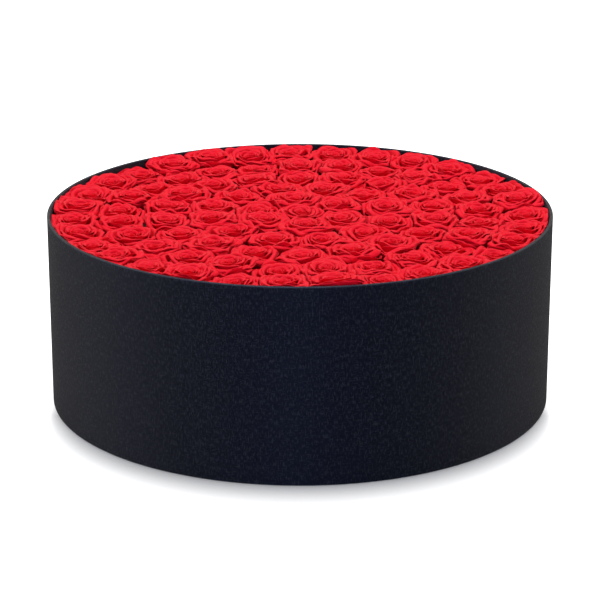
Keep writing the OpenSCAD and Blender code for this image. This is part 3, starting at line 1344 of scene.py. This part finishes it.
@dataclass
class RoseField:
    """Every rose head with its calyx, pressed against its neighbours and the wall."""

    petal_skin: PetalSkin = PetalSkin(
        "rose_petal", roughness=0.55, specular=0.2, specular_tint=(1.0, 0.5, 0.55), sheen=0.06,
        sheen_roughness=0.5, sheen_tint=(1.0, 0.22, 0.22),
    )
    leaf_skin: LeafSkin = LeafSkin("rose_calyx", roughness=0.6, specular=0.35)
    petal: PetalForm = PetalForm()
    calyx: CalyxForm = CalyxForm()
    sectors: int = 8
    fewest: int = 21
    most: int = 25
    closing: int = 7
    closing_at: Span = (0.92, 1.0)
    golden: float = math.radians(137.508)
    thick: float = 0.5 * MM
    opening: Span = (0.75, 1.2)
    turn_play: float = 0.12
    head_tone: float = 0.16
    petal_tone: float = 0.13
    reach: float = 1.08
    reach_most: float = 1.42
    corner: int = 8
    press_margin: float = 2.0 * MM
    valley: float = 3.9 * MM
    valley_width: float = 5.0 * MM
    wander: float = 2.2 * MM
    wander_length: float = 34 * MM
    wall_clear: float = 0.5 * MM
    wall_rise: float = 2.2 * MM
    wall_reach: float = 14 * MM
    wall_lift: float = 0.22
    seed: int = 4127

    def head(self, site: RoseSite, nearby: list[RoseSite], wall: float, draw: Draw) -> Sheets:
        """Builds one rose head in its place.

        Args:
            site: Where it stands.
            nearby: The roses close enough to press on it.
            wall: Inner radius of the lined box.
            draw: Random generator.

        Returns:
            Its mesh.
        """
        cell = self.free_space(site, nearby, wall)
        count = int(draw.integers(self.fewest, self.most + 1))
        open_ = draw.uniform(*self.opening)
        spin = draw.uniform(0, FULL_TURN)
        rise = self.wall_rise * draw.uniform(0.0, 1.0)
        shade = draw.uniform(-self.head_tone, self.head_tone)
        spiral = [(n / (count - 1), spin + n * self.golden) for n in range(count)]
        turns = [spin + n * FULL_TURN / self.closing for n in range(self.closing)]
        closing = [(draw.uniform(*self.closing_at), turn) for turn in turns]
        sheets = Sheets()
        for t, turn in spiral + closing:
            turn += draw.normal(0, self.turn_play)
            surface, done = self.petal.surface(t, turn, site, open_, cell, draw)
            pressed = self.press(site.place(surface), site, nearby, wall, rise)
            thickness = self.thick * (1.15 - 0.75 * done)
            seed = draw.uniform(0, VEIN_SEEDS)
            tone = np.clip(0.5 + shade + draw.normal(0, self.petal_tone), 0, 1)
            sheets.add_thin(pressed, done, thickness, seed, tone)
        return sheets

    def bisectors(self, site: RoseSite, nearby: list[RoseSite]) -> list[tuple[Array, float]]:
        """Finds the upright plane between a rose and each neighbour.

        Args:
            site: The rose.
            nearby: The roses close enough to press on it.

        Returns:
            Direction and distance of each plane from the rose's middle.
        """
        planes = []
        for other in nearby:
            away = other.middle() - site.middle()
            apart = float(np.linalg.norm(away))
            planes.append((away / apart, apart / 2 + (site.radius - other.radius) / 2))
        return planes

    def free_space(self, site: RoseSite, nearby: list[RoseSite], wall: float) -> Reach:
        """How far a rose can spread in each direction.

        Args:
            site: The rose.
            nearby: The roses close enough to press on it.
            wall: Inner radius of the lined box.

        Returns:
            A function from angles to distances from the rose's axis.
        """
        planes = self.bisectors(site, nearby)
        centre = site.middle()
        most = site.radius * self.reach_most

        def cell(angle: Array) -> Array:
            """Finds the free distance at some angles, rounded off at the corners.

            Args:
                angle: The angles.

            Returns:
                The distances.
            """
            way = np.stack([np.cos(angle), np.sin(angle)], -1)
            along = way @ centre
            to_wall = np.sqrt(along**2 + (wall - self.wall_clear) ** 2 - centre @ centre) - along
            total = (1 / most) ** self.corner + (1 / to_wall) ** self.corner
            for plane, limit in planes:
                total = total + (np.maximum(way @ plane, 0.0) / limit) ** self.corner
            return self.reach * total ** (-1 / self.corner)

        return cell

    def press(
        self, placed: Array, site: RoseSite, nearby: list[RoseSite], wall: float, rise: float
    ) -> Array:
        """Pushes a petal back where it would run into a neighbour or the wall.

        Args:
            placed: Points in the frame, of any shape with 3 last.
            site: The rose that the petal belongs to.
            nearby: The roses close enough to press on it.
            wall: Inner radius of the lined box.
            rise: How far the wall pushes petals up.

        Returns:
            The pressed points.
        """
        out = placed.copy()
        centre = site.middle()
        x, y = np.moveaxis(FULL_TURN * placed[..., :2] / self.wander_length, -1, 0)
        sway = np.sin(1.2 * x + 2.0) + 0.5 * np.sin(1.9 * y)
        drift = np.stack([np.sin(y) + 0.5 * np.sin(2.3 * x), sway], -1)
        for way, limit in self.bisectors(site, nearby):
            reach = (out[..., :2] - centre) @ way
            bound = limit + self.wander * drift @ way
            held = soft_limit(reach, bound, self.press_margin)
            out[..., :2] -= (reach - held)[..., None] * way
            out[..., 2] -= self.valley * np.exp((held - bound) / self.valley_width)
        radius = np.linalg.norm(out[..., :2], axis=-1)
        held = soft_limit(radius, wall - self.wall_clear, self.press_margin)
        out[..., :2] *= (held / np.maximum(radius, 1e-9))[..., None]
        out[..., 2] += self.wall_lift * (radius - held)
        out[..., 2] += rise * np.exp((held - wall) / self.wall_reach)
        return out

    def build(self, effects: EffectLibrary) -> None:
        """Builds every head as its own piece, and the calyxes sector by sector.

        Args:
            effects: The shared effects.
        """
        petals, leaves = self.petal_skin.make(effects), self.leaf_skin.make(effects)
        sites = rose_sites(self.sectors)
        lined = mesh_points("inner_lining")
        wall = float(np.hypot(lined[:, 0], lined[:, 1]).min())
        draw = np.random.default_rng(self.seed)
        calyxes = {sector: Sheets() for sector in range(1, self.sectors + 1)}
        for number, site in enumerate(sites, 1):
            nearby = [
                s for s in sites if s is not site and (s.foot - site.foot).length < 3 * site.radius
            ]
            sheets = self.head(site, nearby, wall, draw)
            piece = sheets.build(f"rose_head_{number:02d}", petals)
            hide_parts(f"blooms_{site.sector}")
            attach(piece, "insert")
            self.calyx.add(calyxes[site.sector], site, draw)
        log.info("%d rose heads, the last of %d faces", len(sites), len(piece.data.polygons))
        for sector, sheets in calyxes.items():
            piece = sheets.build(f"calyx_set_{sector}", leaves)
            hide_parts(f"calyxes_{sector}")
            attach(piece, "insert")
            log.info("%s: %d faces", piece.name, len(piece.data.polygons))


# ---------------------------------------------------------------- the studio


@dataclass(frozen=True)
class Lamp:
    """A soft flat lamp: where it hangs, its width and height in metres, and its power in watts."""

    name: str
    place: tuple[float, float, float]
    size: Span
    power: float
    colour: Colour

    def hang(self, aim: Vector) -> None:
        """Adds the lamp to the scene.

        Args:
            aim: Where it points.
        """
        light = bpy.data.lights.new(self.name, "AREA")
        light.shape = "RECTANGLE"
        light.size, light.size_y = self.size
        light.energy = self.power
        light.color = self.colour
        made = bpy.data.objects.new(self.name, light)
        made.location = self.place
        made.rotation_euler = (aim - made.location).to_track_quat("-Z", "Y").to_euler()
        bpy.context.scene.collection.objects.link(made)


@dataclass
class Studio:
    """White floor and surround, two soft lamps, and the camera."""

    aim: Vector = field(default_factory=lambda: Vector((0.0, 0.0, 0.12)))
    camera_place: tuple[float, float, float] = (0.0, -2.2015, 0.840)
    camera_pitch: float = math.radians(71.32)
    lens: float = 138.6
    sensor: float = 36.0
    floor_half: float = 12.0
    floor_white: float = 0.9
    floor_mirrored: float = 0.12
    shadow_length: float = 0.1
    back_shadow: float = 0.03
    side_fade: float = 10.0
    back_depth: float = 0.6
    turned_back: Span = (0.3, 0.9)
    turned_front: Span = (-0.3, -0.08)
    surround: float = 0.50
    mirrored_front: float = 0.02
    mirrored_side: float = 2.1
    mirrored_back: float = 0.6
    side_from: Span = (-0.35, 0.1)
    back_from: Span = (0.15, 0.8)
    mirrored_left: float = 0.14
    mirrored_colour: Colour = (1.0, 0.92, 0.78)
    lamps: tuple[Lamp, ...] = (
        Lamp("overhead", (0.0, 0.2, 3.1), (1.1, 1.1), 46.0, (1.0, 1.0, 1.0)),
        Lamp("front_fill", (0.1, -3.4, 0.6), (1.3, 0.7), 26.0, (0.50, 0.62, 1.0)),
    )

    def floor(self) -> None:
        """A wide pale floor that keeps the shadow and reads as white where it is lit."""
        half = self.floor_half
        corners = [(-half, -half, 0), (half, -half, 0), (half, half, 0), (-half, half, 0)]
        mesh = bpy.data.meshes.new("floor")
        mesh.from_pydata(corners, [], [(0, 1, 2, 3)])
        made = bpy.data.objects.new("floor", mesh)
        bpy.context.scene.collection.objects.link(made)
        material = bpy.data.materials.new("floor_white")
        material.use_nodes = True
        n = Nodes(material.node_tree)
        n.tree.nodes.clear()
        path = n.add("ShaderNodeLightPath")
        shades = [(shade,) * 3 for shade in (self.floor_white, self.floor_mirrored)]
        matte = n.add("ShaderNodeBsdfDiffuse", {0: n.tint(path.outputs["Is Glossy Ray"], *shades)})
        lift = n.math("MULTIPLY", path.outputs["Is Camera Ray"], self.floor_lift(n))
        glow = n.add("ShaderNodeEmission", {"Strength": lift})
        both = n.add("ShaderNodeAddShader", {0: matte.outputs[0], 1: glow.outputs[0]})
        n.add("ShaderNodeOutputMaterial", {0: both.outputs[0]})
        mesh.materials.append(material)

    def floor_lift(self, n: Nodes) -> Socket:
        """How far the floor is lifted to white, so that its shadow falls towards the front.

        Args:
            n: The floor material's node writer.

        Returns:
            The output socket, 0 at the foot of the box and 1 away from it.
        """
        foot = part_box("base_paper")[1].x
        place = n.add("ShaderNodeTexCoord").outputs["Object"]
        along = n.add("ShaderNodeSeparateXYZ", {0: place})
        across, depth = n.math("ABSOLUTE", along.outputs[0]), along.outputs[1]
        inside = n.math("SUBTRACT", foot**2, n.math("MULTIPLY", across, across))
        edge = n.math("SQRT", n.math("MAXIMUM", inside, 0.0))
        ahead = n.math("SUBTRACT", n.math("MULTIPLY", depth, -1.0), edge)
        past = n.math("MAXIMUM", n.math("SUBTRACT", across, foot), 0.0)
        beside = n.math("MULTIPLY", past, self.side_fade)
        front = n.range(n.math("ADD", ahead, beside), 0.0, self.shadow_length)
        away = n.add("ShaderNodeVectorMath", {0: place}, operation="LENGTH").outputs["Value"]
        near = n.range(away, foot, foot + self.back_shadow, self.back_depth, 0.0)
        behind = n.range(depth, *(share * foot for share in self.turned_back))
        back = n.math("SUBTRACT", 1.0, n.math("MULTIPLY", near, behind))
        return n.blend(n.range(depth, *(share * foot for share in self.turned_front)), front, back)

    def surroundings(self) -> None:
        """A plain surround, white where it is seen and darkest in reflections of its front."""
        world = bpy.data.worlds.new("surround")
        bpy.context.scene.world = world
        world.use_nodes = True
        n = Nodes(world.node_tree)
        n.tree.nodes.clear()
        path = n.add("ShaderNodeLightPath")
        facing = n.add("ShaderNodeTexCoord").outputs["Generated"]
        across, depth, _ = n.add("ShaderNodeSeparateXYZ", {0: facing}).outputs
        leaning = n.math("MULTIPLY", across, self.mirrored_left)
        depth = n.math("SUBTRACT", depth, leaning)
        side = n.range(depth, *self.side_from, self.mirrored_front, self.mirrored_side)
        back = n.range(depth, *self.back_from, 0.0, self.mirrored_side - self.mirrored_back)
        left = n.math("SUBTRACT", 1.0, leaning)
        mirrored = n.math("MULTIPLY", n.math("SUBTRACT", side, back), left)
        strength = n.blend(path.outputs["Is Glossy Ray"], self.surround, mirrored)
        strength = n.blend(path.outputs["Is Camera Ray"], strength, 1.0)
        colour = n.tint(path.outputs["Is Glossy Ray"], (1.0, 1.0, 1.0), self.mirrored_colour)
        background = n.add("ShaderNodeBackground", {"Color": colour, "Strength": strength})
        n.add("ShaderNodeOutputWorld", {0: background.outputs[0]})

    def camera(self) -> None:
        """Adds the camera."""
        data = bpy.data.cameras.new("camera")
        data.lens = self.lens
        data.sensor_width = self.sensor
        data.clip_end = 60.0
        made = bpy.data.objects.new("camera", data)
        made.location = self.camera_place
        made.rotation_euler = (self.camera_pitch, 0.0, 0.0)
        bpy.context.scene.collection.objects.link(made)
        bpy.context.scene.camera = made

    def build(self) -> None:
        """Builds the floor, the surround, the lamps and the camera."""
        self.camera()
        self.floor()
        self.surroundings()
        for lamp in self.lamps:
            lamp.hang(self.aim)
        bpy.context.scene.view_settings.view_transform = "Standard"


def main() -> None:
    """Builds the scene around the frame."""
    logging.basicConfig(level=logging.INFO, format="%(name)s: %(message)s")
    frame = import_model()
    Studio().build()
    effects = EffectLibrary()
    dress = Dresser(frame["nodes"])
    BoxShell().build(effects, dress)
    Insert().build(effects, dress)
    RoseField().build(effects)


if __name__ == "__main__":
    main()
